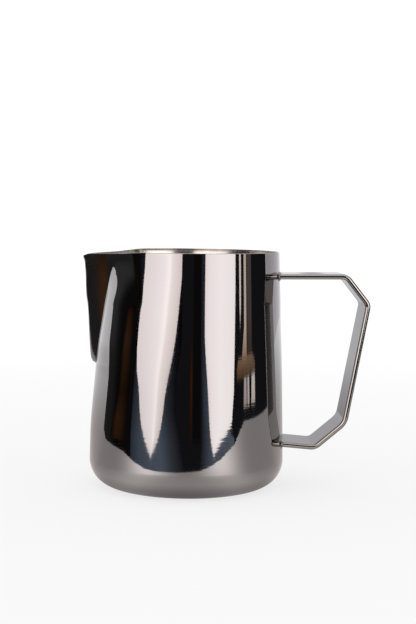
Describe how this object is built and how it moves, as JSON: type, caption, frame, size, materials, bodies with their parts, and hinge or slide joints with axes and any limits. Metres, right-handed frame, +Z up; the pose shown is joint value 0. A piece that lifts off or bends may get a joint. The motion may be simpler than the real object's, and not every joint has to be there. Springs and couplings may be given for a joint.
{
  "type": "pouring pot",
  "caption": "Cylindrical sheet-steel pouring pot with a sharp pressed spout and a bent strip handle welded to its wall.",
  "frame": {"origin": "centre of the flat base, on the surface that the pot stands on", "axes": "+Z up, +X towards the handle, -X towards the spout, +Y to complete the right-handed frame"},
  "size_m": [0.132, 0.09, 0.1088],
  "materials": {
    "cup_steel": "mirror-polished stainless steel under a dark gunmetal vapour-deposited coating",
    "handle_steel": "polished dark gunmetal stainless steel bar, slightly satin on the flats",
    "weld_steel": "ground and polished weld bead, same dark coating"
  },
  "bodies": {
    "root": {"body_shell": "cup_steel", "spout": "cup_steel", "handle": "handle_steel", "thumb_pad": "handle_steel", "handle_weld_upper": "weld_steel", "handle_weld_lower": "weld_steel"}
  },
  "joints": []
}
